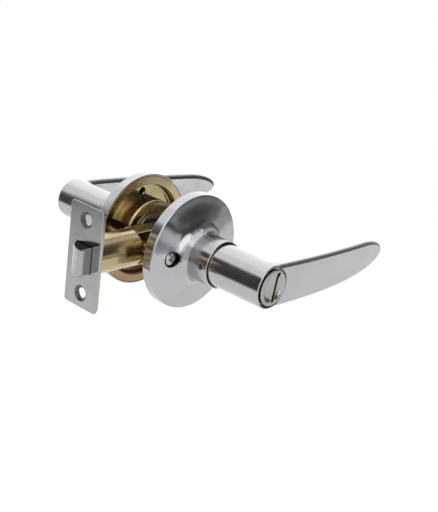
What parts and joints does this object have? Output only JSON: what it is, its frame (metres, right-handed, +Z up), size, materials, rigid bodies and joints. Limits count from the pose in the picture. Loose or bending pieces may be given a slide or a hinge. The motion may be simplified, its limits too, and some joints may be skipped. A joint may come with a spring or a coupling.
{
  "type": "door lever handle",
  "caption": "Tubular privacy lever set: two curved lever handles on round roses, a turn button, and the spring latch that they draw back.",
  "frame": {"origin": "on the spindle axis, midway through the door", "axes": "+Y along the spindle away from the turn button side, +X level towards the lever tips (the latch faceplate is at -X), +Z up"},
  "size_m": [0.1851, 0.163, 0.0666],
  "materials": {
    "rose_chrome": "satin chrome plate on pressed steel",
    "lever_chrome": "satin chrome plate on a casting",
    "latch_chrome": "brushed chrome plate",
    "button_nickel": "satin nickel, slightly warm",
    "yellow_zinc": "yellow zinc plate",
    "plain_steel": "plain drawn steel",
    "spring_steel": "oil dark spring steel",
    "screw_zinc": "bright zinc plate"
  },
  "bodies": {
    "door_set": {"front_rose": "rose_chrome", "front_mounting_plate": "yellow_zinc", "front_spring_cage": "yellow_zinc", "front_return_spring": "spring_steel", "back_rose": "rose_chrome", "back_mounting_plate": "yellow_zinc", "back_spring_cage": "yellow_zinc", "back_return_spring": "spring_steel", "through_screws": "screw_zinc", "screw_posts": "yellow_zinc", "latch_faceplate": "latch_chrome", "latch_backing_plate": "yellow_zinc", "latch_tube": "yellow_zinc", "spring_seat": "yellow_zinc", "latch_case_front": "yellow_zinc", "latch_case_back": "yellow_zinc", "case_rivets": "yellow_zinc", "bolt_spring": "spring_steel"},
    "front_handle": {"front_drive_sleeve": "plain_steel", "front_circlip": "spring_steel", "front_lever": "lever_chrome", "spindle": "plain_steel", "latch_cam": "yellow_zinc"},
    "back_handle": {"back_drive_sleeve": "plain_steel", "back_circlip": "spring_steel", "back_lever": "lever_chrome"},
    "bolt": {"latch_bolt": "latch_chrome", "bolt_retractor": "yellow_zinc"},
    "button": {"turn_button": "button_nickel", "button_clip": "spring_steel", "turn_bar": "plain_steel"},
    "front_catch": {"front_lever_catch": "spring_steel"},
    "back_catch": {"back_lever_catch": "spring_steel"}
  },
  "joints": [
    {"name": "lever_turn", "type": "hinge", "parent": "door_set", "child": "front_handle", "pos_m": [0, 0, 0], "axis": [0, 1, 0], "range_deg": [0, 55], "stiffness_Nm_per_rad": 0.5, "springref_deg": -28.65, "deforming": ["front_return_spring"]},
    {"name": "back_lever_turn", "type": "hinge", "parent": "door_set", "child": "back_handle", "pos_m": [0, 0, 0], "axis": [0, 1, 0], "range_deg": [0, 55], "stiffness_Nm_per_rad": 0.5, "springref_deg": -28.65, "deforming": ["back_return_spring"]},
    {"name": "bolt_slide", "type": "slide", "parent": "door_set", "child": "bolt", "axis": [1, 0, 0], "range_m": [0, 0.0086], "stiffness_N_per_m": 250, "springref_m": -0.01, "deforming": ["bolt_spring"]},
    {"name": "button_turn", "type": "hinge", "parent": "front_handle", "child": "button", "pos_m": [0, -0.07, 0], "axis": [0, 1, 0], "range_deg": [0, 90]},
    {"name": "front_catch_push", "type": "slide", "parent": "front_handle", "child": "front_catch", "axis": [1, 0, 0], "range_m": [0, 0.0025], "stiffness_N_per_m": 300, "springref_m": -0.002},
    {"name": "back_catch_push", "type": "slide", "parent": "back_handle", "child": "back_catch", "axis": [1, 0, 0], "range_m": [0, 0.0025], "stiffness_N_per_m": 300, "springref_m": -0.002}
  ],
  "couplings": [
    {"joint": "back_lever_turn", "follows": "lever_turn", "ratio": 1},
    {"joint": "bolt_slide", "follows": "lever_turn", "m_per_rad": 0.008958}
  ]
}
